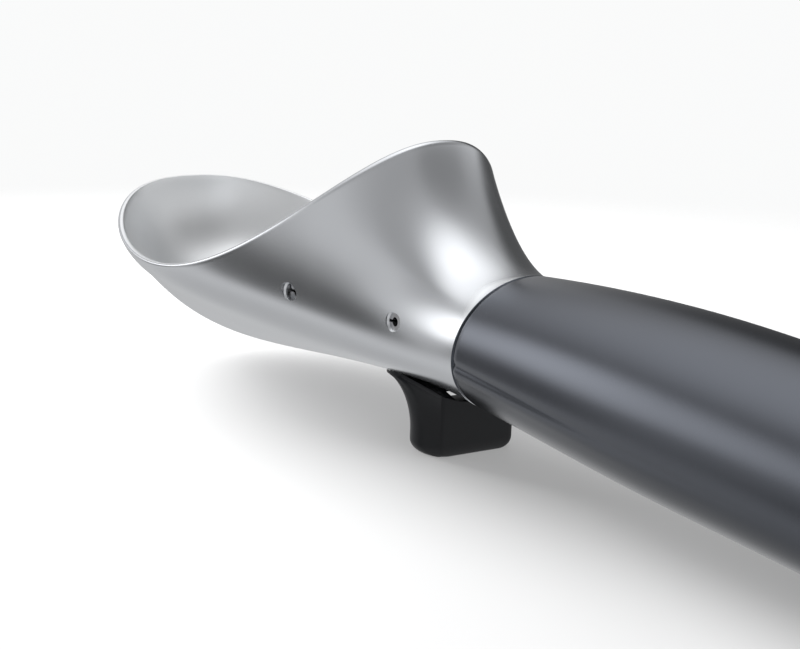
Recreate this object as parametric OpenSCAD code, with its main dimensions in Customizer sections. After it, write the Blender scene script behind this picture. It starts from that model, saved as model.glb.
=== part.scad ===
// Ice cream scoop with a squeeze trigger: cast head, oval handle, and a trigger that lifts a blade in the bowl.
// Millimetres. +X points to the bowl's tip, +Z up; the scoop stands on Z = 0 on its trigger's foot and its handle.
// The shapes are worked out from the handle joint, on the neck's level axis, and moved into place at the end.

/* [Bowl] */
// Length of the bowl from crest to tip
bowl_l = 79.6; // [74:0.2:84]
// Width of the bowl before its taper
bowl_w = 53.4; // [50:0.2:58]
// Distance from the handle joint to the bowl's middle
bowl_x = 58.4; // [57:0.2:61]
// Fullness of the rim's plan, where 1 is an ellipse
rim_power = 0.87; // [0.8:0.01:1]
// Share of its width that the rim loses towards the crest
rim_taper = 0.16; // [0:0.01:0.25]
// Height of the tip above the neck's axis
tip_h = 11.5; // [9:0.1:14]
// Height of the rim an eighth of the way round from the tip
fore_h = 7.4; // [6:0.1:9]
// Height of the rim at the bowl's middle
waist_h = 3.2; // [2:0.1:5]
// Height of the rim an eighth of the way round from the crest
shoulder_h = 15.1; // [14:0.1:17]
// Height of the crest above the neck's axis
crest_h = 25.8; // [24:0.1:28]
// Thickness of the rim's edge
rim_edge = 1; // [0.8:0.1:1.6]
// Distance from the handle joint to the lowest point of the bowl's floor
floor_x = 65.2; // [63:0.2:67]
// Depth of the bowl's floor below the neck's axis
floor_depth = 8.3; // [7.6:0.1:8.6]

/* [Neck] */
// Height of the neck's oval at the handle joint
neck_h = 19.4; // [18.6:0.1:20.6]
// Width of the neck's oval at the handle joint
neck_w = 22.4; // [21:0.1:24]
// Lean of the handle joint towards the handle, as a slope
neck_lean = 0.19; // [0:0.01:0.25]
// Depth of the thumb dish in the back of the crest
dish_depth = 1.3; // [0.5:0.1:1.6]
// Width of the slot that holds the trigger and the ejector
slot_w = 8.4; // [8:0.1:9]
// Diameter of the spigot that holds the handle
spigot_d = 14; // [13:0.2:14.4]
// Length of the spigot
spigot_l = 18; // [16:0.5:22]

/* [Handle] */
// Length of the handle
handle_l = 124; // [116:0.5:132]
// Height of the handle where it is fullest
handle_h = 23.4; // [22.6:0.1:24]
// Distance from the joint at which the handle is fullest
swell_l = 42; // [34:1:50]
// Length over which the handle's end rounds off
round_l = 19; // [16:1:24]
// Length of the end cap
cap_l = 8; // [6:0.5:10]
// Thickness of the soft grip
grip_t = 2.2; // [1.6:0.1:2.6]
// Height of the neck's axis above the surface that the scoop stands on
axis_h = 17.8; // [17.6:0.1:18.2]

/* [Trigger] */
// Distance of the trigger's pin from the handle joint
trigger_x = 12.2; // [11.8:0.1:12.8]
// Height of the trigger's pin above the neck's axis
trigger_z = 1.7; // [1.4:0.1:2]
// Width of the trigger's foot where it is widest
trigger_w = 16; // [15:0.2:17]
// Thickness of the trigger's foot from back to front
trigger_t = 7.8; // [7:0.1:8.6]
// Radius of the hollow in front of the trigger
flare_r = 7.1; // [6.6:0.1:7.4]
// Diameter of both cross pins
pin_d = 2.5; // [2.2:0.1:3]
// Angle that the trigger turns when it is pulled
trigger_travel = 12; // [10:0.5:15]

/* [Ejector] */
// Distance of the ejector's pin from the handle joint
ejector_x = 31.4; // [30.9:0.1:31.9]
// Height of the ejector's pin above the neck's axis
ejector_z = 2.8; // [2.4:0.1:3.1]
// Width of the blade in the bowl's floor
blade_w = 11; // [10:0.2:12]
// Thickness of the blade
blade_t = 1.2; // [1:0.1:1.3]

/* [Hidden] */
$fn = 48;

// Fits and clearances
run_fit = 0.05;
slide_fit = 0.3;
side_fit = 0.05;

// Faces round and along the cast and moulded shapes
around = 56;
head_steps = 18;
bowl_steps = 12;
handle_stations = [0, 6, 14, 24, 36, 50, 64, 78, 92, 100, 106, 112];

// The handle joint's distance from the origin, so that the origin lies below the middle of the whole scoop
tip_x = bowl_x + bowl_l/2;
joint_x = (handle_l - tip_x)/2;

// Arms and slopes of the hull's curves at the joint and at the rim, each at the top, the side and the keel,
// and last the swell that the flank below the side has
joint_arm = [1, 19.5, 30.9, -7.5];
joint_rise = [0.01, -0.105, 0.259, -0.09];
rim_arm = [16, 7, 43.3, -23.7];
rim_flare = [-28, 26.9, -3.8, -22.3];
// The same for the inside of the bowl, at the crest, the side and the tip
inner_arm = [10.6, 13.8, 19.5];
inner_flare = [-12, 58, -4];
floor_arm = [14.3, 12.3, 12];

// A value that runs from first over middle to last as c runs from 1 over 0 to -1, plus a swell below 0
function swell(v, c) = len(v) > 3 && c < 0 ? v[3]*c*c*(1 - c*c) : 0;
function through(v, c) = v[1] + (v[0] - v[2])/2*c + ((v[0] + v[2])/2 - v[1])*c*c + swell(v, c);
function bezier(p, q, r, s, t) = pow(1 - t, 3)*p + 3*pow(1 - t, 2)*t*q + 3*(1 - t)*t*t*r + t*t*t*s;
function product(v, i = 0) = i < len(v) ? v[i]*product(v, i + 1) : 1;

// The rim's height: the smooth curve through its five named heights
rim_heights = [tip_h, fore_h, waist_h, shoulder_h, crest_h];
rim_nodes = [for (a = [0:45:180]) cos(a)];
function rim_weight(i, c) = product([for (j = [0:4]) if (j != i) (c - rim_nodes[j])/(rim_nodes[i] - rim_nodes[j])]);
function rim_height(c) = [for (i = [0:4]) rim_weight(i, c)]*rim_heights;
// A point of the rim at an angle round from the tip, drawn in by inset
function rim_point(a, inset = 0) =
    let (c = cos(a), s = sin(a), back = (1 - c)/2)
    [bowl_x + (bowl_l/2 - inset)*c,
     sign(s)*(bowl_w/2 - inset)*pow(abs(s), rim_power)*(1 - rim_taper*back*back),
     rim_height(c)];

// The hull's outside: s runs from the joint to the rim, a round from the top over the left to the keel
function dish_width(s) = 26 + 30*pow(1 - s, 1.8);
function dish(s, a) =
    let (across = min(1, abs(a > 180 ? a - 360 : a)/dish_width(s)))
    dish_depth*pow(1 - across*across, 1.5)*pow(4*s*(1 - s), 0.6);
function hull_point(s, a) =
    let (c = cos(a), b = 180 - a, joint = [-neck_lean*neck_h/2*c, neck_w/2*sin(a), neck_h/2*c],
         arm = through(joint_arm, c), rim = rim_point(b), flare = through(rim_flare, c),
         from_joint = joint + [arm, 0, arm*through(joint_rise, c)],
         to_rim = rim - through(rim_arm, c)*[cos(b)*sin(flare), sin(b)*sin(flare), cos(flare)])
    bezier(joint, from_joint, to_rim, rim, s) + dish(s, a)*[sin(90*s), 0, -cos(90*s)];

// Half the hull's width at a point of the centre plane, taken from the nearest of its points
function hull_side(x, z) =
    let (near = [for (i = [1:48]) for (a = [60:2:120]) let (p = hull_point(i/50, a)) [norm([p[0] - x, p[2] - z]), p[1]]],
         least = min([for (p = near) p[0]]))
    [for (p = near) if (p[0] == least) p[1]][0];

// The inside of the bowl: r runs from the rim to the lowest point of the floor
function bowl_point(r, a) =
    let (c = cos(a), b = 180 - a, rim = rim_point(b, rim_edge), flare = through(inner_flare, c),
         from_rim = rim - through(inner_arm, c)*[cos(b)*sin(flare), sin(b)*sin(flare), cos(flare)],
         floor_point = [floor_x, 0, -floor_depth],
         to_floor = floor_point + through(floor_arm, c)*[cos(b), sin(b), 0])
    bezier(rim, from_rim, to_floor, floor_point, r);

// The bowl's ramp on the centre plane, and the direction square to it, out of the metal
function ramp(t) = let (p = bowl_point(t, 0)) [p[0], p[2]];
function ramp_up(t) = let (d = ramp(t + 0.01) - ramp(t - 0.01)) [-d[1], d[0]]/norm(d);
function below_ramp(from, to, depth, steps = 10) =
    [for (i = [0:steps]) let (t = from + (to - from)*i/steps) ramp(t) - depth*ramp_up(t)];
function band(from, to, top, bottom, steps = 10) =
    concat(below_ramp(from, to, top, steps), below_ramp(to, from, bottom, steps));

// The handle's outside at a distance behind the joint, drawn in by inset
function handle_drop(u) = 0.6*(u/60) + 1.75*pow(u/60, 2);
function handle_half(u) =
    let (q = min(1, max(0, (u - handle_l + round_l)/round_l)))
    (neck_h/2 + (handle_h - neck_h)/2*sin(90*min(1, u/swell_l)))*pow(1 - pow(q, 2.4), 1/2.4);
function handle_point(u, a, inset = 0) =
    let (half = handle_half(u), wide = half*neck_w/neck_h, lean = neck_lean*pow(max(0, 1 - u/20), 2),
         z = max(0, half - inset)*cos(a))
    [-u - lean*z, max(0, wide - inset)*sin(a), z - handle_drop(u)];

// Faces between rings of points, each ring with the same count, seen from outside
function ring_faces(rings, n, first = 0) =
    [for (i = [0:rings - 2]) for (j = [0:n - 1])
        let (p = first + i*n + j, q = first + i*n + (j + 1)%n)
        each [[p, q, q + n], [p, q + n, p + n]]];
function ring_end(n, first) = [[for (j = [0:n - 1]) first + j]];
function turned(faces) = [for (f = faces) [for (i = [len(f) - 1:-1:0]) f[i]]];
angles = [for (j = [0:around - 1]) 360*j/around];

// Sections drawn in the scoop's centre plane become plates of a width
module plate(w) rotate([90, 0, 0]) linear_extrude(w, center = true) children();
// A shaft or a hole across the scoop at a point of the centre plane
module across(x, z, d, l) translate([x, 0, z]) rotate([90, 0, 0]) cylinder(d = d, h = l, center = true);
module placed() translate([joint_x, 0, axis_h]) children();

// Pin sizes and what runs on them
bush_d = pin_d + 1.6;
hub_r = 3.9;
hub_w = slot_w - 0.8;
washer_t = (slot_w - hub_w)/2 - side_fit;
washer_d = 7.4;

// The trigger's arm presses the ejector's tail where their pins' distance is shared out
press_x = trigger_x + 10;
arm_nose_r = 1.6;
arm_nose_z = trigger_z + 2.5;
tail_top = arm_nose_z - arm_nose_r - 0.2;
tail_t = 3.2;
tail_x = press_x - 1;
slot_back = trigger_x - 6.8;
slot_top = trigger_z + 5.4;
slot_front = press_x + 2.2;
pad_t = slot_top - arm_nose_z - arm_nose_r - 0.1;

// The blade's ends, and places of its lever and rivets as shares of the ramp's curve
blade_back = ejector_x + 6.7;
blade_front = ejector_x + 30.1;
blade_bevel = 0.47;
lever_to = 0.73;
rivet_at = [0.56, 0.67];
blade_sink = 0.15;
lever_top = blade_sink + blade_t;
lever_t = 2.3;
rivet_d = 2.2;
rivet_end = lever_top + lever_t + 0.3;

// The tang rod lies a little steeper than the joint, along the handle's middle
tang_tilt = 3.4;
tang_d = 6;
tang_l = handle_l - 16;
nut_w = 10;
nut_t = 5;
washer_thick = 1.2;
pocket_d = 12.6;
washer_at = tang_l - 7.8;
seal_r = 0.75;
seal_x = -4;
tang_pin_x = -11;
grip_l = handle_l - cap_l;
stations = [for (u = handle_stations) if (u < grip_l - 2) u];
core_us = concat(stations, [grip_l]);
function tang_axis_z(u) = -u*tan(tang_tilt);
module along_tang(u) rotate([0, -tang_tilt, 0]) translate([-u, 0, 0]) rotate([0, 90, 0]) children();

module cast_body() {
    outer = [for (i = [0:head_steps]) for (a = angles) hull_point(i/head_steps, a)];
    inner = [for (i = [0:bowl_steps - 1]) for (a = angles) bowl_point(i/bowl_steps, a)];
    rings = head_steps + 1 + bowl_steps;
    last = (rings - 1)*around;
    fan = [for (j = [0:around - 1]) [last + j, last + (j + 1)%around, rings*around]];
    polyhedron(concat(outer, inner, [bowl_point(1, 0)]),
               concat(turned(ring_end(around, 0)), ring_faces(rings, around), fan));
}

module slot_section() {
    translate([slot_back, -neck_h]) square([slot_front - slot_back, neck_h + slot_top]);
    translate([slot_front - 4, tail_top - tail_t - 3.2]) square([ejector_x - slot_front + 4, slot_top - tail_top + tail_t + 3.2]);
    translate([ejector_x, ejector_z]) circle(r = hub_r + 0.5);
    translate([ejector_x + 0.5, ejector_z]) square([6, 8]);
    polygon([[ejector_x, ejector_z - hub_r - 0.5], ramp(0.63) - (lever_top + lever_t + 0.4)*ramp_up(0.63),
             ramp(0.63), [ejector_x, ejector_z]]);
    polygon(band(0.47, lever_to + 0.01, -4, lever_top + lever_t + 0.4));
}

module scoop_head() {
    color("silver") placed() difference() {
        union() {
            cast_body();
            translate([-spigot_l, 0, 0]) rotate([0, 90, 0]) cylinder(d = spigot_d, h = spigot_l + 3);
        }
        plate(slot_w) slot_section();
        blade_shape(-4, lever_top + 0.1, slide_fit);
        across(trigger_x, trigger_z, pin_d, bowl_w);
        across(ejector_x, ejector_z, pin_d, bowl_w);
        along_tang(spigot_l + 4) cylinder(d = tang_d, h = spigot_l + 4);
        across(tang_pin_x, tang_axis_z(-tang_pin_x), 3, spigot_d + 2);
        translate([seal_x, 0, 0]) rotate([0, 90, 0]) difference() {
            cylinder(d = spigot_d + 4, h = 2*seal_r, center = true);
            cylinder(d = spigot_d - 2*seal_r - 0.9, h = 3*seal_r, center = true);
        }
    }
}
module neck_seal() {
    color("dimgray") placed() translate([seal_x, 0, 0]) rotate([0, 90, 0])
        rotate_extrude() translate([spigot_d/2 - 0.45, 0]) circle(r = seal_r);
}

module tang_rod() {
    color("gray") placed() difference() {
        along_tang(tang_l) cylinder(d = tang_d, h = tang_l);
        across(tang_pin_x, tang_axis_z(-tang_pin_x), 3, spigot_d);
    }
}

module tang_pin() {
    color("gray") placed() across(tang_pin_x, tang_axis_z(-tang_pin_x), 3, spigot_d - 1);
}

// A closed shape from the handle's rings, drawn in by inset
module handle_body(us, inset) {
    points = [for (u = us) for (a = angles) handle_point(u, a, inset)];
    n = len(us);
    polyhedron(points, concat(ring_end(around, 0), turned(ring_faces(n, around)), turned(ring_end(around, (n - 1)*around))));
}

module handle_core() {
    color("dimgray") placed() difference() {
        handle_body(core_us, grip_t);
        translate([-spigot_l - 0.2, 0, 0]) rotate([0, 90, 0]) cylinder(d = spigot_d + 0.1, h = spigot_l + 4);
        translate([seal_x - 2*seal_r, 0, 0]) rotate([0, 90, 0]) cylinder(d = spigot_d + 2*seal_r - 0.9, h = 8);
        along_tang(handle_l) cylinder(d = tang_d + 0.2, h = handle_l);
        along_tang(handle_l) cylinder(d = pocket_d, h = handle_l - washer_at);
    }
}

module handle_grip() {
    n = len(core_us);
    outer = [for (u = core_us) for (a = angles) handle_point(u, a)];
    inner = [for (u = core_us) for (a = angles) handle_point(u, a, grip_t)];
    m = n*around;
    e = (n - 1)*around;
    ends = [for (j = [0:around - 1]) let (k = (j + 1)%around)
            each [[j, m + k, k], [j, m + j, m + k], [e + j, e + k, m + e + k], [e + j, m + e + k, m + e + j]]];
    color("slategray") placed() difference() {
        polyhedron(concat(outer, inner), concat(turned(ring_faces(n, around)), ring_faces(n, around, m), ends));
        translate([-handle_l, -neck_w, -axis_h - 10]) cube([handle_l, 2*neck_w, 10]);
    }
}

module tang_washer() {
    color("silver") placed() along_tang(washer_at + washer_thick) difference() {
        cylinder(d = pocket_d - 0.6, h = washer_thick);
        translate([0, 0, -1]) cylinder(d = tang_d + 0.1, h = washer_thick + 2);
    }
}

module tang_nut() {
    color("silver") placed() along_tang(washer_at + washer_thick + nut_t) difference() {
        cylinder(d = nut_w/cos(30), h = nut_t, $fn = 6);
        translate([0, 0, -1]) cylinder(d = tang_d, h = nut_t + 2);
    }
}

module end_cap() {
    us = [for (i = [0:6]) grip_l + cap_l*sin(15*i)*0.999];
    n = len(us);
    points = concat([for (u = us) for (a = angles) handle_point(u, a)]);
    color("dimgray") placed() difference() {
        union() {
            polyhedron(points, concat(ring_end(around, 0), turned(ring_faces(n, around)), turned(ring_end(around, (n - 1)*around))));
            along_tang(grip_l + 2) cylinder(d = pocket_d - 0.1, h = 7);
        }
        translate([-handle_l, -neck_w, -axis_h - 10]) cube([handle_l, 2*neck_w, 10]);
    }
}

module stop_pad() {
    color("black") placed() translate([press_x - 1.8, -slot_w/2 + 1, slot_top - pad_t]) cube([3.6, slot_w - 2, pad_t]);
}

// The trigger's foot: level outlines, flat behind and round in front, that flare forward below the neck
foot_back = trigger_x - 3.9;
foot_front = foot_back + trigger_t;
foot_round = 1.8;
foot_corner = trigger_t/2;
foot_chamfer = 1.7;
foot_top = -5;
flare_z = 3 - axis_h;
top_gap = 0.25;
function foot_reach(z) = let (up = max(0, z - flare_z))
    foot_front + min(flare_r - 0.6, flare_r - sqrt(max(0, flare_r*flare_r - up*up)));
function foot_inset(z) = let (d = min(foot_round, max(0, foot_round - z - axis_h))) foot_round - sqrt(foot_round*foot_round - d*d);
function foot_outline(z) =
    let (inset = foot_inset(z), half = trigger_w/2 - inset, back = foot_back + 0.3*inset, front = foot_reach(z) - 0.6*inset,
         left = [for (t = [118:-11.8:-0.01]) [front - foot_corner*(1 - cos(t)), half - foot_corner*(1 - sin(t)), z]],
         n = len(left))
    concat([[back, half - foot_chamfer, z]], left, [for (i = [n - 1:-1:0]) [left[i][0], -left[i][1], z]],
           [[back, foot_chamfer - half, z]]);
foot_levels = concat([for (t = [0:22.5:90]) -axis_h + foot_round*(1 - cos(t))],
                     [for (i = [0:12]) flare_z + (foot_top - flare_z)*i/12]);
module foot_block() {
    rings = [for (z = foot_levels) foot_outline(z)];
    n = len(rings[0]);
    count = len(rings);
    polyhedron([for (r = rings) each r], concat(turned(ring_end(n, 0)), ring_faces(count, n), ring_end(n, (count - 1)*n)));
}
module turned_about_pin(x, z, a) translate([x, 0, z]) rotate([0, a, 0]) translate([-x, 0, -z]) children();
module trigger_section() {
    translate([trigger_x, trigger_z]) circle(r = hub_r + 0.4);
    polygon([[foot_back + 0.6, -10.5], [foot_front + 1.4, -10.5], [trigger_x + 4.4, trigger_z], [trigger_x - 4.4, trigger_z]]);
    polygon([[trigger_x, trigger_z + hub_r + 0.2], [press_x, arm_nose_z + arm_nose_r],
             [press_x - 1.2, arm_nose_z - 1], [trigger_x + 3.8, trigger_z - 1.8]]);
    translate([press_x, arm_nose_z]) circle(r = arm_nose_r);
}

spring_gap = 3.6;
wire_d = 0.6;
coil_r = bush_d/2 + 0.15 + wire_d/2;
module trigger() {
    color([0.09, 0.1, 0.11]) placed() difference() {
        union() {
            difference() {
                foot_block();
                for (i = [0:2]) turned_about_pin(trigger_x, trigger_z, -trigger_travel*i/2)
                    translate([0, 0, -top_gap]) cast_body();
            }
            plate(hub_w) trigger_section();
        }
        across(trigger_x, trigger_z, bush_d, hub_w + 1);
        across(trigger_x, trigger_z, 2*(coil_r + wire_d/2 + 0.3), spring_gap);
        translate([trigger_x - 7, -spring_gap/2, trigger_z]) cube([7, spring_gap, 7]);
        translate([trigger_x + coil_r - wire_d, -spring_gap/2, trigger_z - 5.4])
            cube([2*wire_d - 0.25, spring_gap, 5.4]);
    }
}

module bush(x, z) difference() {
    across(x, z, bush_d, hub_w);
    across(x, z, pin_d + 2*run_fit, hub_w + 1);
}
module washers(x, z) for (side = [-1, 1]) translate([0, side*(hub_w/2 + washer_t/2 + side_fit/2), 0]) difference() {
    across(x, z, washer_d, washer_t);
    across(x, z, pin_d + 2*run_fit, washer_t + 1);
}
// A rolled spring pin: a tube with a slit along its front
module roll_pin(x, z, l) difference() {
    across(x, z, pin_d, l);
    across(x, z, pin_d - 1.2, l + 1);
    translate([x + pin_d/4, -l/2 - 1, z - 0.2]) cube([pin_d, l + 2, 0.4]);
}

module trigger_bush() color("silver") placed() bush(trigger_x, trigger_z);
module trigger_washers() color("ivory") placed() washers(trigger_x, trigger_z);
trigger_pin_l = 2*(hull_side(trigger_x, trigger_z) - 0.25);
module trigger_pin() color("darkgray") placed() roll_pin(trigger_x, trigger_z, trigger_pin_l);

// The return spring: a wire along a path of points, each with the direction that it runs in
spring_turns = 3 + 1/6;
spring_pitch = 0.85;
spring_steps = 38;
coil_path = [for (i = [0:spring_steps])
    let (a = 360*spring_turns*i/spring_steps)
    [coil_r*cos(a), spring_turns*spring_pitch*(i/spring_steps - 0.5), coil_r*sin(a)]];
end_angle = 360*spring_turns;
spring_path = concat([coil_path[0] - [0, 0, 5], coil_path[0] - [0, 0, 2.5]], coil_path,
                     [for (l = [2.6, 5.1]) coil_path[spring_steps] + l*[-sin(end_angle), 0, cos(end_angle)]]);
function unit(v) = v/norm(v);
module wire(path, d, sides = 6) {
    n = len(path);
    heading = [for (i = [0:n - 1]) unit(path[min(n - 1, i + 1)] - path[max(0, i - 1)])];
    points = [for (i = [0:n - 1])
        let (side = unit(cross(heading[i], [0, 1, 0])), up = cross(side, heading[i]))
        for (k = [0:sides - 1]) path[i] + d/2*(cos(360*k/sides)*side + sin(360*k/sides)*up)];
    polyhedron(points, concat(turned(ring_end(sides, 0)), ring_faces(n, sides), ring_end(sides, (n - 1)*sides)));
}
module trigger_spring() color("silver") placed() translate([trigger_x, 0, trigger_z]) wire(spring_path, wire_d);

// The blade's place along the ramp, with a round front end that a bevel draws in towards its underside
module blade_shape(top, bottom, room = 0, bevel = 0) {
    half = blade_w/2 + room;
    level = 7.9;
    intersection() {
        plate(2*half) polygon(band(0.46, 0.98, top, bottom, 13));
        union() {
            translate([blade_back - room, -half, -20]) cube([blade_front - blade_w/2 - blade_back + room, 2*half, 40]);
            translate([blade_front - blade_w/2, 0, -level - 4]) cylinder(r1 = half - 4*bevel, r2 = half + 4*bevel, h = 8);
        }
    }
}
module ejector_section() {
    translate([ejector_x, ejector_z]) circle(r = hub_r);
    translate([tail_x, tail_top - tail_t]) square([ejector_x - tail_x, tail_t]);
    polygon(concat([[ejector_x, ejector_z - hub_r + 0.1]], below_ramp(0.6, lever_to, lever_top + lever_t, 5),
                   below_ramp(lever_to, 0.52, 0.6), [[ejector_x + 2.9, ejector_z + 1.6]]));
}
module rivets(d, top, bottom) for (t = rivet_at)
    let (p = ramp(t), up = ramp_up(t)) translate([p[0], 0, p[1]]) rotate([0, atan2(up[0], up[1]), 0])
        translate([0, 0, -bottom]) cylinder(d = d, h = bottom - top);
module ejector_lever() {
    color("silver") placed() difference() {
        plate(hub_w) ejector_section();
        blade_shape(-4, lever_top);
        across(ejector_x, ejector_z, bush_d, hub_w + 1);
        rivets(rivet_d, 0, rivet_end);
    }
}
module ejector_blade() {
    color("gainsboro") placed() difference() {
        blade_shape(blade_sink, lever_top, 0, blade_bevel);
        rivets(rivet_d, -1, lever_top + 1);
    }
}
module ejector_rivets() color("silver") placed() rivets(rivet_d, blade_sink, rivet_end);
module ejector_bush() color("silver") placed() bush(ejector_x, ejector_z);
module ejector_washers() color("ivory") placed() washers(ejector_x, ejector_z);
ejector_pin_l = 2*(hull_side(ejector_x, ejector_z) - 1);
module ejector_pin() color("darkgray") placed() roll_pin(ejector_x, ejector_z, ejector_pin_l);

scoop_head();
neck_seal();
tang_rod();
tang_pin();
handle_core();
handle_grip();
tang_washer();
tang_nut();
end_cap();
stop_pad();
trigger();
trigger_bush();
trigger_washers();
trigger_pin();
trigger_spring();
ejector_lever();
ejector_blade();
ejector_rivets();
ejector_bush();
ejector_washers();
ejector_pin();
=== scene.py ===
import bpy
import numpy as np
from mathutils import Matrix
from mathutils.bvhtree import BVHTree


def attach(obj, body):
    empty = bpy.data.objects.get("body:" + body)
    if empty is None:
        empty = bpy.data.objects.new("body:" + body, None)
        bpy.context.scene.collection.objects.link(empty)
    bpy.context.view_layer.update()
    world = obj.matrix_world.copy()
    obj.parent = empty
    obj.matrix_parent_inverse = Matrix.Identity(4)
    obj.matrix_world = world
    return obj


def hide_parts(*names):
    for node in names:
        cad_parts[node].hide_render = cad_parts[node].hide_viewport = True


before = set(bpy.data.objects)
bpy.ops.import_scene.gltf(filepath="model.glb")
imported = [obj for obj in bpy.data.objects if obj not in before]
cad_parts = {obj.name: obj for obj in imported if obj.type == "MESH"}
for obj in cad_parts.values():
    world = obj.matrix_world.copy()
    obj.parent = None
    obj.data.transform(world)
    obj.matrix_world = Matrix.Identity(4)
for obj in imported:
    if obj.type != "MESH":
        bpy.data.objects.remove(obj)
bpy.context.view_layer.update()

# Sizes in millimetres, the same as the solids'
MM = 0.001
BOWL_L = 79.6
BOWL_W = 53.4
BOWL_X = 58.4
RIM_POWER = 0.87
RIM_TAPER = 0.16
RIM_EDGE = 1.0
RIM_HEIGHTS = (11.5, 7.4, 3.2, 15.1, 25.8)
FLOOR_X = 65.2
FLOOR_DEPTH = 8.3
NECK_H = 19.4
NECK_W = 22.4
NECK_LEAN = 0.19
DISH_DEPTH = 1.3
DISH_ANGLE = 26
DISH_SPREAD = 30
SLOT_W = 8.4
HANDLE_L = 124.0
HANDLE_H = 23.4
SWELL_L = 42.0
ROUND_L = 19.0
CAP_L = 8.0
GRIP_T = 2.2
DROP_L = 60
DROP_SLOPE = 0.6
DROP_BEND = 1.75
AXIS_H = 17.8
TRIGGER_X = 12.2
TRIGGER_Z = 1.7
TRIGGER_W = 16.0
TRIGGER_T = 7.8
TRAVEL = 12.0
EJECTOR_X = 31.4
EJECTOR_Z = 2.8
PIN_D = 2.5
HUB_R = 3.9
FLARE_R = 7.1
BLADE_W = 11.0
BLADE_T = 1.2
BLADE_SINK = 0.15
BLADE_FROM = 6.7
BLADE_TO = 30.1
JOINT_X = (HANDLE_L - BOWL_X - BOWL_L/2)/2
GRIP_L = HANDLE_L - CAP_L

# Arms and slopes of the hull's and the bowl's curves, at the top, the side and the keel
JOINT_ARM = (1, 19.5, 30.9, -7.5)
JOINT_RISE = (0.01, -0.105, 0.259, -0.09)
RIM_ARM = (16, 7, 43.3, -23.7)
RIM_FLARE = (-28, 26.9, -3.8, -22.3)
INNER_ARM = (10.6, 13.8, 19.5)
INNER_FLARE = (-12, 58, -4)
FLOOR_ARM = (14.3, 12.3, 12)


def through(values, c):
    """The parabola in c through values at c = 1, 0 and -1, and below 0 a fourth value times c c (1 - c c)."""
    top, side, keel, swell = (*values, 0)[:4]
    square = c*c
    return side + (top - keel)/2*c + ((top + keel)/2 - side)*square + swell*square*(1 - square)*(c < 0)


def bezier(a, b, c, d, t):
    """Cubic curve from a to d with handles b and c."""
    t = np.asarray(t)[..., None]
    return (1 - t)**3*a + 3*(1 - t)**2*t*b + 3*(1 - t)*t*t*c + t**3*d


def vec(x, y, z):
    """Points from coordinate arrays that are stretched to one shape."""
    return np.stack(np.broadcast_arrays(x, y, z), axis=-1).astype(float)


def turn(degrees):
    """Sine and cosine of an angle in degrees."""
    angle = np.deg2rad(degrees)
    return np.sin(angle), np.cos(angle)


def rim_point(angle, inset=0.0):
    """Rim at an angle from the tip: an oval in plan, with a quartic in cos(angle) through five heights."""
    s, c = turn(angle)
    knots = np.cos(np.deg2rad(np.arange(0, 181, 45)))
    height = np.zeros_like(c)
    for i, value in enumerate(RIM_HEIGHTS):
        others = np.delete(knots, i)
        height = height + value*np.prod([(c - k)/(knots[i] - k) for k in others], axis=0)
    back = (1 - c)/2
    width = (BOWL_W/2 - inset)*np.abs(s)**RIM_POWER*(1 - RIM_TAPER*back**2)
    return vec(BOWL_X + (BOWL_L/2 - inset)*c, np.sign(s)*width, height)


def hull_point(s, angle):
    """Outside of the head: curves from the neck's oval (s = 0) to the rim (s = 1), less the thumb dish."""
    sine, c = turn(angle)
    rim = rim_point(180 - angle)
    joint = vec(-NECK_LEAN*NECK_H/2*c, NECK_W/2*sine, NECK_H/2*c)
    arm = through(JOINT_ARM, c)
    flare_s, flare_c = turn(through(RIM_FLARE, c))
    from_joint = joint + vec(arm, 0*arm, arm*through(JOINT_RISE, c))
    to_rim = rim - through(RIM_ARM, c)[..., None]*vec(-c*flare_s, sine*flare_s, flare_c)
    around = np.abs(np.where(angle > 180, angle - 360, angle))/(DISH_ANGLE + DISH_SPREAD*(1 - s)**1.8)
    depth = DISH_DEPTH*(1 - np.minimum(around, 1)**2)**1.5*(4*s*(1 - s)).clip(0)**0.6
    dish_s, dish_c = turn(90*s)
    return bezier(joint, from_joint, to_rim, rim, s) + vec(depth*dish_s, 0*depth, -depth*dish_c)


def bowl_point(r, angle):
    """Inside of the bowl: curves from the inner rim (r = 0) to the floor's lowest point (r = 1)."""
    sine, c = turn(angle)
    rim = rim_point(180 - angle, RIM_EDGE)
    flare_s, flare_c = turn(through(INNER_FLARE, c))
    from_rim = rim - through(INNER_ARM, c)[..., None]*vec(-c*flare_s, sine*flare_s, flare_c)
    floor = vec(FLOOR_X + 0*c, 0*c, -FLOOR_DEPTH + 0*c)
    arm = through(FLOOR_ARM, c)
    return bezier(rim, from_rim, floor + vec(-arm*c, arm*sine, 0*c), floor, r)


def ramp_line(t, depth=0.0):
    """The bowl's back ramp on the centre plane, moved into the metal by depth, as (x, z) points."""
    t = np.asarray(t, float)
    p, q = (bowl_point(t + step, 0*t)[..., [0, 2]] for step in (-0.005, 0.005))
    along = (q - p)/np.linalg.norm(q - p, axis=-1, keepdims=True)
    return (p + q)/2 - depth*along[..., ::-1]*(-1, 1)


def handle_point(u, angle, inset=0.0):
    """Handle at distance u behind the joint: an oval that swells, curves down and rounds off at its end."""
    sine, c = turn(angle)
    q = ((u - HANDLE_L + ROUND_L)/ROUND_L).clip(0, 1)
    half = (NECK_H/2 + (HANDLE_H - NECK_H)/2*turn(90*(u/SWELL_L).clip(0, 1))[0])*(1 - q**2.4)**(1/2.4)
    drop = DROP_SLOPE*(u/DROP_L) + DROP_BEND*(u/DROP_L)**2
    z = (half - inset).clip(0)*c
    lean = NECK_LEAN*(1 - u/20).clip(0)**2
    return vec(-u - lean*z, (half*NECK_W/NECK_H - inset).clip(0)*sine, z - drop)


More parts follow.
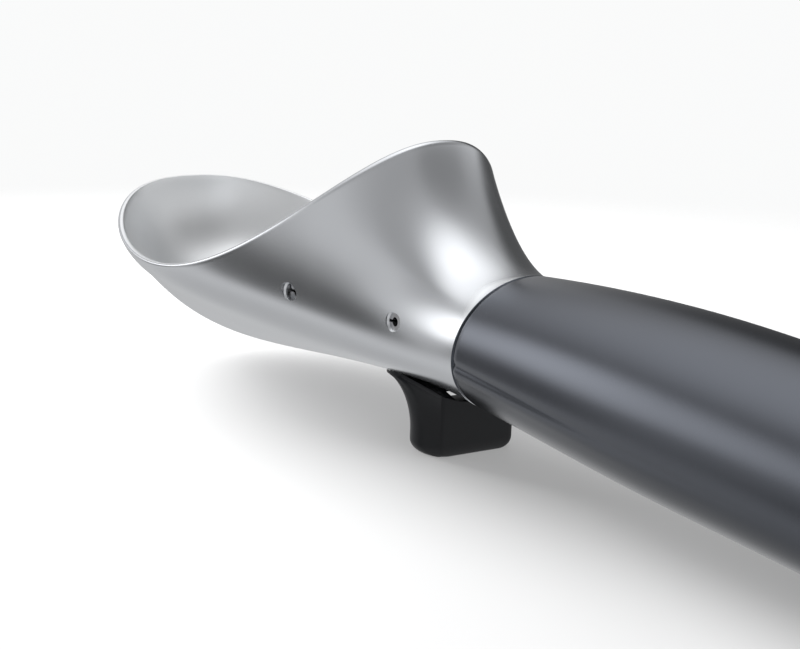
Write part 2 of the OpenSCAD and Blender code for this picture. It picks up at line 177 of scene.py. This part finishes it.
def ring_faces(rings, around):
    """Quads between neighbouring closed rings of points."""
    i, j = np.meshgrid(np.arange(rings - 1), np.arange(around), indexing="ij")
    a = i*around + j
    b = i*around + (j + 1) % around
    return np.stack([a, b, b + around, a + around], axis=-1).reshape(-1, 4)


def signed_volume(points, faces):
    """Six times the volume that the faces enclose, negative when they point inwards."""
    total = 0.0
    for face in faces:
        p = points[list(face)]
        total += np.einsum("ij,ij->i", np.cross(p[1:-1], p[2:]), np.broadcast_to(p[0], p[1:-1].shape)).sum()
    return total


def piece(name, points, faces, smooth_to=40.0):
    """A mesh object from points in millimetres; edges sharper than smooth_to degrees stay sharp."""
    faces = [tuple(int(i) for i in face) for face in faces]
    if signed_volume(points, faces) < 0:
        faces = [face[::-1] for face in faces]
    mesh = bpy.data.meshes.new(name)
    mesh.from_pydata(((points + (JOINT_X, 0, AXIS_H))*MM).tolist(), [], faces)
    obj = bpy.data.objects.new(name, mesh)
    bpy.context.scene.collection.objects.link(obj)
    soften(obj, smooth_to)
    return obj


def soften(obj, smooth_to):
    """Smooth shading, with edges over the angle kept sharp."""
    obj.data.shade_smooth()
    obj.data.set_sharp_from_angle(angle=np.deg2rad(smooth_to))


def rings_piece(name, rings, smooth_to=40.0, pole=False):
    """A closed piece from rings of equal count: flat ends, or a last ring drawn together to a pole."""
    count, around = rings.shape[:2]
    points = rings.reshape(-1, 3)
    faces = ring_faces(count, around).tolist()
    faces.append(list(range(around))[::-1])
    last = (count - 1)*around
    if pole:
        tip = len(points)
        points = np.vstack([points, rings[-1].mean(axis=0)])
        faces += [[last + j, last + (j + 1) % around, tip] for j in range(around)]
    else:
        faces.append([last + j for j in range(around)])
    return piece(name, points, faces, smooth_to)


def plate(name, outline, width):
    """An outline of (x, z) points made a plate of a width across the centre plane."""
    outline = np.asarray(outline, float)
    sides = [vec(outline[:, 0], y + 0*outline[:, 0], outline[:, 1]) for y in (-width/2, width/2)]
    return rings_piece(name, np.stack(sides))


def rod(name, x, z, radii, ys, around=64):
    """A turned piece across the centre plane: a radius for each place along Y."""
    sine, c = turn(np.arange(around)*360/around)
    rings = [vec(x + r*c, y + 0*c, z + r*sine) for r, y in zip(radii, ys)]
    return rings_piece(name, np.stack(rings), 30)


def carve(obj, cutters, how="DIFFERENCE"):
    """Cuts (or joins) solids with exact booleans, applies the result and removes the cutters."""
    for cutter in cutters:
        change = obj.modifiers.new("carve", "BOOLEAN")
        change.operation = how
        change.solver = "EXACT"
        change.object = cutter
    seen = obj.evaluated_get(bpy.context.evaluated_depsgraph_get())
    mesh = bpy.data.meshes.new_from_object(seen)
    obj.modifiers.clear()
    old = obj.data
    obj.data = mesh
    bpy.data.meshes.remove(old)
    for cutter in cutters:
        bpy.data.objects.remove(cutter)
    soften(obj, 32)


def circle(x, z, r, start=0, end=360, count=48):
    """Points of an arc on the centre plane."""
    sine, c = turn(np.linspace(start, end, count, endpoint=end - start < 360))
    return np.stack([x + r*c, z + r*sine], axis=-1)


# Head: hull, rounded lip and bowl in one skin, then the slots and holes
AROUND = 224
HULL_LIP = 0.9
BOWL_LIP = 0.3
angles = np.arange(AROUND)*360/AROUND
cosines = turn(angles)[1]
hull_end = 1 - HULL_LIP/(3*through(RIM_ARM, cosines))
bowl_start = BOWL_LIP/(3*through(INNER_ARM, cosines))
hull_rings = np.stack([hull_point(s*hull_end, angles) for s in np.linspace(0, 1, 90)**1.15])
bowl_steps = np.linspace(0, 0.985, 64)
bowl_rings = np.stack([bowl_point(bowl_start + (1 - bowl_start)*r, angles) for r in bowl_steps])
lip_rings = np.stack([bezier(hull_rings[-1], rim_point(180 - angles), rim_point(180 - angles, RIM_EDGE),
                             bowl_rings[0], np.full(AROUND, t)) for t in np.linspace(0, 1, 12)[1:-1]])
head = rings_piece("head_skin", np.concatenate([hull_rings, lip_rings, bowl_rings]), pole=True)

HUB_ROOM = 0.5
LEVER_T = 2.3
LEVER_TO = 0.74
TAIL_DROP = 6.4
SEAT_ROOM = 0.3
press_x = TRIGGER_X + 10
nose_r = 1.6
nose_z = TRIGGER_Z + 2.5
tail_top = nose_z - nose_r - 0.2
slot_back = TRIGGER_X - 6.8
slot_front = press_x + 2.2
slot_top = TRIGGER_Z + 5.4
lever_under = BLADE_SINK + BLADE_T + LEVER_T + 0.4


def box(x0, x1, z0, z1):
    """The outline of a rectangle on the centre plane."""
    return [(x0, z0), (x1, z0), (x1, z1), (x0, z1)]


neck_slot = box(slot_back, slot_front, -NECK_H, slot_top)
tail_slot = box(slot_front - 4, EJECTOR_X, tail_top - TAIL_DROP, slot_top)
lever_slot = np.vstack([[(EJECTOR_X, EJECTOR_Z - HUB_R - HUB_ROOM)],
                        ramp_line(np.linspace(0.63, LEVER_TO, 12), lever_under),
                        ramp_line(np.linspace(LEVER_TO, 0.47, 24), -4),
                        [(EJECTOR_X + 0.5, EJECTOR_Z + 8)],
                        [(EJECTOR_X + 0.5, EJECTOR_Z)],
                        [(EJECTOR_X, EJECTOR_Z)]])


def blade_seat(top, bottom):
    """Room for the blade: a strip along the ramp between two depths, a little wider and longer than the
    blade, with straight sides and a round front end."""
    half = BLADE_W/2 + SEAT_ROOM
    centre = EJECTOR_X + BLADE_TO - BLADE_W/2
    straight = np.linspace(EJECTOR_X + BLADE_FROM - SEAT_ROOM, centre, 30)
    x = np.concatenate([straight, centre + half*turn(np.linspace(0, 89.5, 28))[0][1:]])
    y = half*np.sqrt((1 - ((x - centre).clip(0)/half)**2).clip(1e-6))
    line = ramp_line(np.linspace(0.4, 1, 200))
    slope = np.interp(x, line[:, 0], np.gradient(line[:, 1], line[:, 0]))
    z = np.interp(x, line[:, 0], line[:, 1])
    tilt = np.sqrt(1 + slope**2)
    rings = np.stack([vec(x, -y, z - top*tilt), vec(x, y, z - top*tilt),
                      vec(x, y, z - bottom*tilt), vec(x, -y, z - bottom*tilt)], axis=1)
    return rings_piece("blade_seat", rings, 30)


cutters = [plate("neck_slot", neck_slot, SLOT_W),
           plate("tail_slot", tail_slot, SLOT_W),
           plate("lever_slot", lever_slot, SLOT_W),
           plate("hub_slot", circle(EJECTOR_X, EJECTOR_Z, HUB_R + HUB_ROOM), SLOT_W),
           blade_seat(-4, BLADE_SINK + BLADE_T + 0.1)]


def hull_side(x, z):
    """Y of the hull's left side at a point of the centre plane, the nearest of a grid of its points."""
    s, a = np.meshgrid(np.linspace(0.02, 0.98, 400), np.linspace(40, 150, 441), indexing="ij")
    p = hull_point(s, a).reshape(-1, 3)
    return p[np.argmin((p[:, 0] - x)**2 + (p[:, 2] - z)**2)][1]


# Pin holes with a small countersink on each side
SINK_W = 0.25
SINK_DEPTH = 0.15
for name, x, z in (("trigger_hole", TRIGGER_X, TRIGGER_Z), ("ejector_hole", EJECTOR_X, EJECTOR_Z)):
    side = hull_side(x, z)
    ys = np.array([-side - 2, -side - 0.1, -side + SINK_DEPTH, side - SINK_DEPTH, side + 0.1, side + 2])
    cutters.append(rod(name, x, z, PIN_D/2 + SINK_W*np.array([1, 1, 0, 0, 1, 1]), ys))
carve(head, cutters)
head.name = "cast_head"
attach(head, "scoop")
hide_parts("scoop_head")


# Grip: a smooth sleeve with a soft crease along each side that fades towards the end
CREASE_ANGLE = 101
CREASE_L = 34
CREASE_DEPTH = 0.22
CREASE_LIFT = 0.16


def grip_point(u, angle):
    """The handle's outside with rounded ends and a shallow groove below each side, deepest at the joint."""
    p = handle_point(u, angle)
    side = np.abs((angle + 180) % 360 - 180)
    line = CREASE_ANGLE + 6*(u/60)
    fade = np.exp(-(u/CREASE_L)**2)
    dip = CREASE_DEPTH*np.exp(-((side - line)/2.6)**2)
    lift = CREASE_LIFT*np.exp(-((side - line - 7)/5)**2)
    ends = 0.35*(np.exp(-(u/0.45)**2) + np.exp(-((GRIP_L - u)/0.3)**2))
    sine, c = turn(angle)
    p = p - (fade*(dip - lift) + ends)[..., None]*vec(0*c, sine, c)
    p[..., 2] = p[..., 2].clip(-AXIS_H)
    return p


front_us = [0, 0.12, 0.3, 0.55, 0.9]
rear_us = GRIP_L - np.array([0.7, 0.4, 0.2, 0])
grip_us = np.concatenate([front_us, np.linspace(1.5, GRIP_L - 1.2, 110), rear_us])
bore_us = [*grip_us[::6], GRIP_L]
outside = np.stack([grip_point(np.full(AROUND, u), angles) for u in grip_us])
inside = np.stack([handle_point(np.full(AROUND, u), angles, GRIP_T) for u in bore_us])
skin = np.concatenate([inside[::-1], outside])
last = (len(skin) - 1)*AROUND
faces = ring_faces(len(skin), AROUND).tolist()
faces += [[last + j, last + (j + 1) % AROUND, (j + 1) % AROUND, j] for j in range(AROUND)]
grip = piece("soft_sleeve", skin.reshape(-1, 3), faces)
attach(grip, "scoop")
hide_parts("handle_grip")

# End cap: the handle's rounded end, with a fine groove where it meets the grip
cap_us = GRIP_L + CAP_L*turn(np.linspace(0, 90, 40))[0]*0.9999
cap_insets = 0.3*np.exp(-((cap_us - GRIP_L)/0.3)**2)
cap_rings = np.stack([handle_point(np.full(AROUND, u), angles, inset)
                      for u, inset in zip(cap_us, cap_insets)])
cap_rings[..., 2] = cap_rings[..., 2].clip(-AXIS_H)
cap = rings_piece("rounded_cap", cap_rings, pole=True)
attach(cap, "scoop")
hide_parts("end_cap")

# Trigger: a rounded foot that flares forward under the neck, and an arm inside it
foot_back = TRIGGER_X - 3.9
foot_front = foot_back + TRIGGER_T
flare_z = 3 - AXIS_H
foot_top = -5.0
foot_round = 1.8
foot_corner = TRIGGER_T/2


def foot_ring(z, count=40):
    """The foot's outline, each point at its own height z: flat behind, round in front, flaring as an arc."""
    flat = np.linspace(-1, 1, 16)[1:-1]
    z = np.broadcast_to(z, 2*count + 6 + len(flat))
    d = (foot_round - z - AXIS_H).clip(0, foot_round)
    inset = foot_round - np.sqrt(foot_round**2 - d**2)
    lift = (z - flare_z).clip(0, FLARE_R)
    front = foot_front + (FLARE_R - np.sqrt(FLARE_R**2 - lift**2)).clip(0, FLARE_R - 0.6) - 0.6*inset
    back = foot_back + 0.3*inset
    half = TRIGGER_W/2 - inset
    sine, c = turn(np.linspace(118, 0, count))
    arc_x = -foot_corner*(1 - c)
    arc_y = -foot_corner*(1 - sine)
    behind = np.array([True]*3 + [False]*2*count + [True]*(3 + len(flat)))
    bevel_x = [0, 0, 0.12]
    bevel_y = [-2.3, -1.95, -1.62]
    along = np.concatenate([bevel_x, arc_x, arc_x[::-1], bevel_x[::-1], 0*flat])
    across = np.concatenate([bevel_y, arc_y, arc_y[::-1], bevel_y[::-1], 0*flat + bevel_y[0]])
    side = np.concatenate([np.repeat([1, -1], count + 3), flat])
    return vec(np.where(behind, back, front) + along, side*(half + across), z)


def hull_below(drop, degrees):
    """The head's outside as a search tree, lowered by drop and turned about the trigger's pin."""
    rings = np.stack([hull_point(s, angles) for s in np.linspace(0, 0.8, 70)]) - (0, 0, drop)
    s, k = turn(degrees)
    x = rings[..., 0] - TRIGGER_X
    z = rings[..., 2] - TRIGGER_Z
    points = vec(TRIGGER_X + x*k + z*s, rings[..., 1], TRIGGER_Z - x*s + z*k).reshape(-1, 3)
    return BVHTree.FromPolygons(points.tolist(), ring_faces(70, AROUND).tolist())


def lowest_hull(points, trees):
    """The height of the lowest hull above each point's place, or the foot's top where there is none."""
    heights = []
    for x, y, _ in points:
        hits = [tree.ray_cast((x, y, -60), (0, 0, 1))[0] for tree in trees]
        heights.append(min([hit[2] for hit in hits if hit] + [foot_top]))
    return np.array(heights)


# The foot's walls end where they meet the hull in any of its positions, and its top follows the hull
FOOT_ROOM = 0.14
TOUCH = 0.02
hulls = [hull_below(FOOT_ROOM, -TRAVEL*part/4) for part in range(5)]
levels = np.linspace(flare_z - 1, foot_top, 90)
grid = np.stack([foot_ring(z) for z in levels])
room_above = np.stack([lowest_hull(ring, hulls) for ring in grid]) - levels[:, None]
wall_top = levels[np.argmax(room_above <= TOUCH, axis=0)]
foot_rings = [foot_ring(z - AXIS_H) for z in foot_round*(1 - turn(np.linspace(0, 90, 14))[1])]
wall_base = foot_round - AXIS_H
foot_rings += [foot_ring(wall_base + (wall_top - wall_base)*t) for t in np.linspace(0, 1, 46)[1:]]
rim = foot_rings[-1]
middle = rim.mean(axis=0)
for share in (0.97, 0.9, 0.78, 0.6, 0.4, 0.2):
    ring = middle + (rim - middle)*share
    ring[:, 2] = lowest_hull(ring, hulls)
    foot_rings.append(ring)
foot = rings_piece("moulded_trigger", np.stack(foot_rings), pole=True)
web = [(foot_back + 0.25, -11.5), (foot_front + 1.2, -11.5),
       (TRIGGER_X + 4.3, TRIGGER_Z), (TRIGGER_X - 4.3, TRIGGER_Z)]
arm = np.vstack([[(TRIGGER_X, TRIGGER_Z + HUB_R + 0.2)], circle(press_x, nose_z, nose_r, 90, -100, 24),
                 [(press_x - 1.2, nose_z - 1), (TRIGGER_X + 3.8, TRIGGER_Z - 1.8)]])
hub_w = SLOT_W - 0.8
carve(foot, [plate("web", web, hub_w),
             plate("hub", circle(TRIGGER_X, TRIGGER_Z, HUB_R + 0.4), hub_w),
             plate("arm", arm, hub_w)], "UNION")
bush_d = PIN_D + 1.6
wire_d = 0.6
gap_w = 3.6
coil_r = bush_d/2 + 0.15 + wire_d/2
gap_box = box(TRIGGER_X - 7, TRIGGER_X, TRIGGER_Z, TRIGGER_Z + 7)
carve(foot, [plate("bore", circle(TRIGGER_X, TRIGGER_Z, bush_d/2), hub_w + 1),
             plate("coil_gap", circle(TRIGGER_X, TRIGGER_Z, coil_r + wire_d/2 + 0.3), gap_w),
             plate("leg_gap", gap_box, gap_w)])
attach(foot, "trigger_arm")
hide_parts("trigger")


# Return spring: one wire from leg to coil to leg
def wire(name, path, radius, around=14):
    """A round wire along a path, its sections square to the path."""
    along = np.gradient(path, axis=0)
    along /= np.linalg.norm(along, axis=1, keepdims=True)
    side = np.cross(along, (0, 1, 0))
    side /= np.linalg.norm(side, axis=1, keepdims=True)
    up = np.cross(side, along)
    sine, c = turn(np.arange(around)*360/around)
    return rings_piece(name, path[:, None] + radius*(c[:, None]*side[:, None] + sine[:, None]*up[:, None]))


coil_turns = 3 + 1/6
coil_pitch = 0.85
winding = np.linspace(0, 1, 130)
sine, c = turn(360*coil_turns*winding)
coil = vec(coil_r*c, coil_turns*coil_pitch*(winding - 0.5), coil_r*sine)
leg_s, leg_c = turn(360*coil_turns)
first_leg = coil[0] - np.linspace(5, 0.5, 8)[:, None]*(0, 0, 1)
last_leg = coil[-1] + np.linspace(0.5, 5.1, 8)[:, None]*(-leg_s, 0, leg_c)
path = np.concatenate([first_leg, coil, last_leg]) + (TRIGGER_X, 0, TRIGGER_Z)
spring = wire("return_spring", path, wire_d/2)
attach(spring, "scoop")
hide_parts("trigger_spring")


# Materials
class Socket:
    """A shader socket; sums, differences and products with it add Math nodes."""

    def __init__(self, shader, socket):
        self.shader = shader
        self.socket = socket

    def math(self, operation, *values):
        """A Math node of an operation on values or sockets."""
        return self.shader.add("ShaderNodeMath", {"operation": operation}, *values)[0]

    def __add__(self, other):
        return self.math("ADD", self, other)

    def __sub__(self, other):
        return self.math("SUBTRACT", self, other)

    def __rsub__(self, other):
        return self.math("SUBTRACT", other, self)

    def __mul__(self, other):
        return self.math("MULTIPLY", self, other)

    __radd__ = __add__
    __rmul__ = __mul__


class Graph:
    """A tree of shader nodes, each made by add."""

    def __init__(self, tree):
        self.tree = tree

    def add(self, kind, settings=(), *values, **named):
        """A node of a kind with its settings, then its sockets' values or links; returns its outputs."""
        node = self.tree.nodes.new(kind)
        for key, value in dict(settings).items():
            if key == "stops":
                while len(node.color_ramp.elements) < len(value):
                    node.color_ramp.elements.new(0.5)
                for element, (position, level) in zip(node.color_ramp.elements, value):
                    element.position = position
                    element.color = (level, level, level, 1)
            else:
                setattr(node, key, value)
        for key, value in list(enumerate(values)) + list(named.items()):
            target = node.inputs[key if isinstance(key, int) else key.replace("_", " ")]
            if isinstance(value, Socket):
                self.tree.links.new(value.socket, target)
            else:
                target.default_value = value
        return [Socket(self, output) for output in node.outputs]


class Shader(Graph):
    """One material's nodes round its principled surface."""

    def __init__(self, name, **surface):
        """Surface values are given by their sockets' names, with _ for a space."""
        self.material = bpy.data.materials.new(name)
        self.material.use_nodes = True
        super().__init__(self.material.node_tree)
        self.surface = self.tree.nodes["Principled BSDF"]
        for key, value in surface.items():
            self.surface.inputs[key.replace("_", " ")].default_value = value

    def place(self):
        """The piece's own coordinates, in metres."""
        return self.add("ShaderNodeTexCoord")[3]

    def noise(self, scale, detail, where=None):
        """Soft random values from 0 to 1 at a scale in features a metre."""
        where = where or self.place()
        return self.add("ShaderNodeTexNoise", {}, Vector=where, Scale=scale, Detail=detail)[0]

    def stretched(self, x, y, z):
        """The piece's coordinates stretched along each axis, for grain that runs one way."""
        return self.add("ShaderNodeMapping", {}, Vector=self.place(), Scale=(x, y, z))[0]

    def tint(self, factor, dark, light):
        """A colour between two, by a factor."""
        outputs = self.add("ShaderNodeMix", {"data_type": "RGBA"})
        node = outputs[0].socket.node
        self.tree.links.new(factor.socket, node.inputs[0])
        node.inputs[6].default_value = (*dark, 1)
        node.inputs[7].default_value = (*light, 1)
        return Socket(self, node.outputs[2])

    def feed(self, **values):
        """Links values to the surface's sockets, by their names."""
        for key, value in values.items():
            self.tree.links.new(value.socket, self.surface.inputs[key.replace("_", " ")])

    def bump(self, height, strength):
        """Fine relief from a height, a tenth of a millimetre deep at most."""
        bump = self.add("ShaderNodeBump", {}, Strength=strength, Distance=0.0001, Height=height)
        self.feed(Normal=bump[0])


def cast_metal():
    """Tumbled aluminium: a soft even shine, faint clouding and very fine grain, with painted light that makes
    the inside of the bowl lighter.
    """
    shader = Shader("satin_cast_metal", Metallic=1.0)
    clouds = shader.noise(45, 3)
    grain = shader.noise(5200, 2)
    centre = ((JOINT_X + 62)*MM, 0, (AXIS_H + 20)*MM)
    towards = shader.add("ShaderNodeVectorMath", {"operation": "SUBTRACT"}, centre, shader.place())[0]
    normal = shader.add("ShaderNodeTexCoord")[1]
    facing = shader.add("ShaderNodeVectorMath", {"operation": "DOT_PRODUCT"}, normal, towards)[1]
    inside = shader.add("ShaderNodeMapRange", {}, Value=facing, From_Min=0.0, From_Max=0.006)[0]
    # Blend of the metal's own clouding and grain with painted light: the inside mask makes the bowl's inside
    # a lighter colour, a painted reflection.
    tone_blend = clouds*0.3 + grain*0.1 + inside*0.6
    shader.feed(Base_Color=shader.tint(tone_blend, (0.61, 0.625, 0.65), (0.97, 0.98, 0.985)),
                Roughness=clouds*0.06 + grain*0.05 + inside*0.14 + 0.2)
    shader.bump(grain, 0.035)
    return shader.material


def soft_rubber():
    """Dark blue-grey sleeve: a smooth satin skin with fine texture, and painted shade that makes it darker
    underneath.
    """
    shader = Shader("blue_grey_sleeve", Metallic=0.96)
    clouds = shader.noise(60, 4)
    grain = shader.noise(3800, 2)
    normal = shader.add("ShaderNodeTexCoord")[1]
    height = shader.add("ShaderNodeSeparateXYZ", {}, normal)[2]
    # Painted shade: the sleeve's colour is darker where its surface faces down, blended with its own clouding
    # and grain.
    painted_underside_shade_mask = shader.add("ShaderNodeMapRange", {}, Value=height, From_Min=-0.75, From_Max=-0.1)[0]
    tone_blend = clouds*0.14 + grain*0.08 + painted_underside_shade_mask*0.78
    shader.feed(Base_Color=shader.tint(tone_blend, (0.042, 0.047, 0.056), (0.126, 0.134, 0.153)),
                Roughness=clouds*0.05 + grain*0.04 + 0.21)
    shader.bump(grain, 0.06)
    return shader.material


def black_plastic(name, dark, light, roughness):
    """Moulded plastic with a fine eroded grain."""
    shader = Shader(name, Metallic=0.0, Specular_IOR_Level=0.3)
    grain = shader.noise(2600, 3)
    clouds = shader.noise(120, 2)
    shader.feed(Base_Color=shader.tint(clouds, dark, light), Roughness=grain*0.1 + roughness)
    shader.bump(grain, 0.1)
    return shader.material


def brushed_steel(name, stretch):
    """Steel with fine lines along one axis."""
    shader = Shader(name, Metallic=1.0)
    lines = shader.noise(900, 3, shader.stretched(*stretch))
    shader.feed(Base_Color=shader.tint(lines, (0.42, 0.42, 0.43), (0.62, 0.62, 0.63)),
                Roughness=lines*0.16 + 0.24)
    shader.bump(lines, 0.08)
    return shader.material


def bearing_plastic():
    """Pale slippery plastic with a slight mottle."""
    shader = Shader("bearing_plastic_ivory", Metallic=0.0)
    tone_blend = shader.noise(700, 3)
    shader.feed(Base_Color=shader.tint(tone_blend, (0.66, 0.65, 0.60), (0.78, 0.77, 0.73)),
                Roughness=tone_blend*0.1 + 0.42)
    return shader.material


def seal_rubber():
    """Black rubber with a matt bloom."""
    shader = Shader("black_seal_rubber", Metallic=0.0)
    bloom = shader.noise(1500, 3)
    shader.feed(Base_Color=shader.tint(bloom, (0.010, 0.010, 0.011), (0.03, 0.03, 0.032)),
                Roughness=bloom*0.2 + 0.6)
    shader.bump(bloom, 0.15)
    return shader.material


def dress(obj, material):
    """Gives a piece one material."""
    obj.data.materials.clear()
    obj.data.materials.append(material)


along_steel = brushed_steel("steel_brushed_along", (0.06, 1, 1))
round_steel = brushed_steel("steel_turned", (1, 0.1, 1))
ivory = bearing_plastic()
seal = seal_rubber()
core_black = black_plastic("core_plastic_dark", (0.020, 0.022, 0.027), (0.034, 0.037, 0.044), 0.42)
FINISHES = [
    (round_steel, ("tang_rod", "tang_pin", "tang_washer", "tang_nut")),
    (round_steel, ("trigger_pin", "ejector_pin", "ejector_rivets")),
    (along_steel, ("ejector_lever", "ejector_blade")),
    (ivory, ("trigger_bush", "ejector_bush", "trigger_washers", "ejector_washers")),
    (seal, ("neck_seal", "stop_pad")),
    (core_black, ("handle_core",)),
]
for finish, node_names in FINISHES:
    for node_name in node_names:
        dress(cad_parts[node_name], finish)
dress(head, cast_metal())
dress(grip, soft_rubber())
dress(cap, core_black)
dress(foot, black_plastic("trigger_plastic_black", (0.0035, 0.004, 0.0055), (0.006, 0.007, 0.009), 0.38))
dress(spring, round_steel)

# Floor: a pale disc that fades into the white surroundings
floor_mesh = bpy.data.meshes.new("pale_floor")
FLOOR_SIDES = 96
FLOOR_DROP = 0.00002
FLOOR_RADII = (0.3, 0.6, 1.6)
FADE_FROM = 0.13
FADE_TO = 0.32
edge_s, edge_c = turn(np.arange(FLOOR_SIDES)*360/FLOOR_SIDES)
floor_points = np.concatenate([vec(r*edge_c, r*edge_s, -FLOOR_DROP) for r in FLOOR_RADII])
floor_faces = [list(range(FLOOR_SIDES))] + ring_faces(3, FLOOR_SIDES).tolist()
floor_mesh.from_pydata(floor_points.tolist(), [], floor_faces)
floor = bpy.data.objects.new("pale_floor", floor_mesh)
bpy.context.scene.collection.objects.link(floor)
floor.visible_glossy = False
ground = Shader("pale_floor_paint", Roughness=0.6, Base_Color=(0.36, 0.36, 0.36, 1), Specular_IOR_Level=0.1,
                Emission_Color=(1, 1, 1, 1), Emission_Strength=0.28)
length = ground.add("ShaderNodeVectorMath", {"operation": "LENGTH"}, ground.place())[1]
smooth = {"interpolation_type": "SMOOTHSTEP"}
fade = ground.add("ShaderNodeMapRange", smooth, Value=length, From_Min=FADE_FROM, From_Max=FADE_TO)[0]
clear = ground.add("ShaderNodeBsdfTransparent")[0]
both = ground.add("ShaderNodeMixShader", {}, fade, Socket(ground, ground.surface.outputs[0]), clear)[0]
ground.tree.links.new(both.socket, ground.tree.nodes["Material Output"].inputs["Surface"])
dress(floor, ground.material)

# Surroundings: white behind the object for the camera, and a studio room for reflections
world = bpy.data.worlds.new("studio")
bpy.context.scene.world = world
world.use_nodes = True
world.node_tree.nodes.clear()
room = Graph(world.node_tree)
direction = room.add("ShaderNodeTexCoord")[0]
height = room.add("ShaderNodeSeparateXYZ", {}, direction)[2]


def glow(azimuth, elevation, inner, outer):
    """A round patch of light in the room, even within its inner angle and gone at its outer one."""
    azimuth_s, azimuth_c = turn(azimuth)
    elevation_s, elevation_c = turn(elevation)
    towards = (azimuth_c*elevation_c, azimuth_s*elevation_c, elevation_s)
    nearness = room.add("ShaderNodeVectorMath", {"operation": "DOT_PRODUCT"}, direction, towards)[1]
    limits = {"From_Min": float(turn(outer)[1]), "From_Max": float(turn(inner)[1])}
    return room.add("ShaderNodeMapRange", smooth, Value=nearness, **limits)[0]


# The room's brightness from straight down to straight up, with lights and darker places as
# azimuth, elevation, inner and outer angle in degrees, and strength
ROOM_STOPS = [(0.0, 0.60), (0.15, 0.74), (0.21, 0.74), (0.33, 0.60), (0.46, 0.60), (0.5, 0.66),
              (0.62, 0.70), (0.70, 0.50), (0.80, 0.42), (0.88, 0.42), (0.95, 0.5), (1.0, 0.85)]
LIGHTS = [(0, 68, 10, 46, 0.95), (40, 13, 6, 20, 1.15), (28, 14, 3, 16, 0.7)]
DARKS = [(64, -26, 7, 19, 0.6), (68, -10, 4, 13, 0.36), (52, -37, 2, 8, 0.22), (29, -14, 3, 12, 0.4),
         (2, -54, 8, 31, 0.18), (-150, 42, 10, 34, 0.14), (-62, 12, 10, 32, 0.6)]
LEAST_LIGHT = 0.07
shine = room.add("ShaderNodeValToRGB", {"stops": ROOM_STOPS}, height*0.5 + 0.5)[0]
for *patch, gain in LIGHTS:
    shine = shine + glow(*patch)*gain
for *patch, loss in DARKS:
    shine = shine - glow(*patch)*loss
shine = shine.math("MAXIMUM", shine, LEAST_LIGHT)
lit_room = room.add("ShaderNodeBackground", {}, (0.985, 0.99, 1.0, 1), shine)[0]
white = room.add("ShaderNodeBackground", {}, (0.955, 0.96, 0.96, 1), 1.0)[0]
seen = room.add("ShaderNodeLightPath")[0]
mixed = room.add("ShaderNodeMixShader", {}, seen, lit_room, white)[0]
world_out = world.node_tree.nodes.new("ShaderNodeOutputWorld")
world.node_tree.links.new(mixed.socket, world_out.inputs["Surface"])


def placed(x_axis, y_axis, z_axis, place):
    """The matrix that puts an object at a place with its axes along three directions."""
    matrix = np.eye(4)
    matrix[:3] = np.stack([x_axis, y_axis, z_axis, place], axis=1)
    return Matrix(matrix.tolist())


def softbox(name, place, target, size, watts):
    """A soft square lamp aimed at a point."""
    data = bpy.data.lights.new(name, "AREA")
    data.shape = "SQUARE"
    data.size = size
    data.energy = watts
    lamp = bpy.data.objects.new(name, data)
    back = np.subtract(place, target)
    back = back/np.linalg.norm(back)
    side = np.cross((0.0, 1.0, 0.01), back)
    side /= np.linalg.norm(side)
    lamp.matrix_world = placed(side, np.cross(back, side), back, place)
    lamp.visible_glossy = False
    bpy.context.scene.collection.objects.link(lamp)


softbox("front", place=(0.84, 0.10, 0.31), target=(0, 0, 0), size=0.5, watts=36)

# Camera: low behind the handle and to its left, as the photograph was taken
CAMERA_PLACE = np.array([-152.8, 133.8, 65.6])*MM
CAMERA_ASIDE = 34.56
CAMERA_DOWN = 12.16
CAMERA_ROLL = 2.16
CAMERA_LENS = 72.0
aside_s, aside_c = turn(CAMERA_ASIDE)
down_s, down_c = turn(CAMERA_DOWN)
roll_s, roll_c = turn(CAMERA_ROLL)
look = np.array([aside_c*down_c, -aside_s*down_c, -down_s])
right = np.cross(look, (0, 0, 1))
right /= np.linalg.norm(right)
up = np.cross(right, look)
camera_data = bpy.data.cameras.new("camera")
camera_data.sensor_fit = "HORIZONTAL"
camera_data.sensor_width = 36.0
camera_data.lens = CAMERA_LENS
camera_data.clip_start = 0.005
camera = bpy.data.objects.new("camera", camera_data)
camera.matrix_world = placed(roll_c*right + roll_s*up, roll_c*up - roll_s*right, -look, CAMERA_PLACE)
bpy.context.scene.collection.objects.link(camera)
bpy.context.scene.camera = camera
bpy.context.scene.view_settings.view_transform = "Standard"
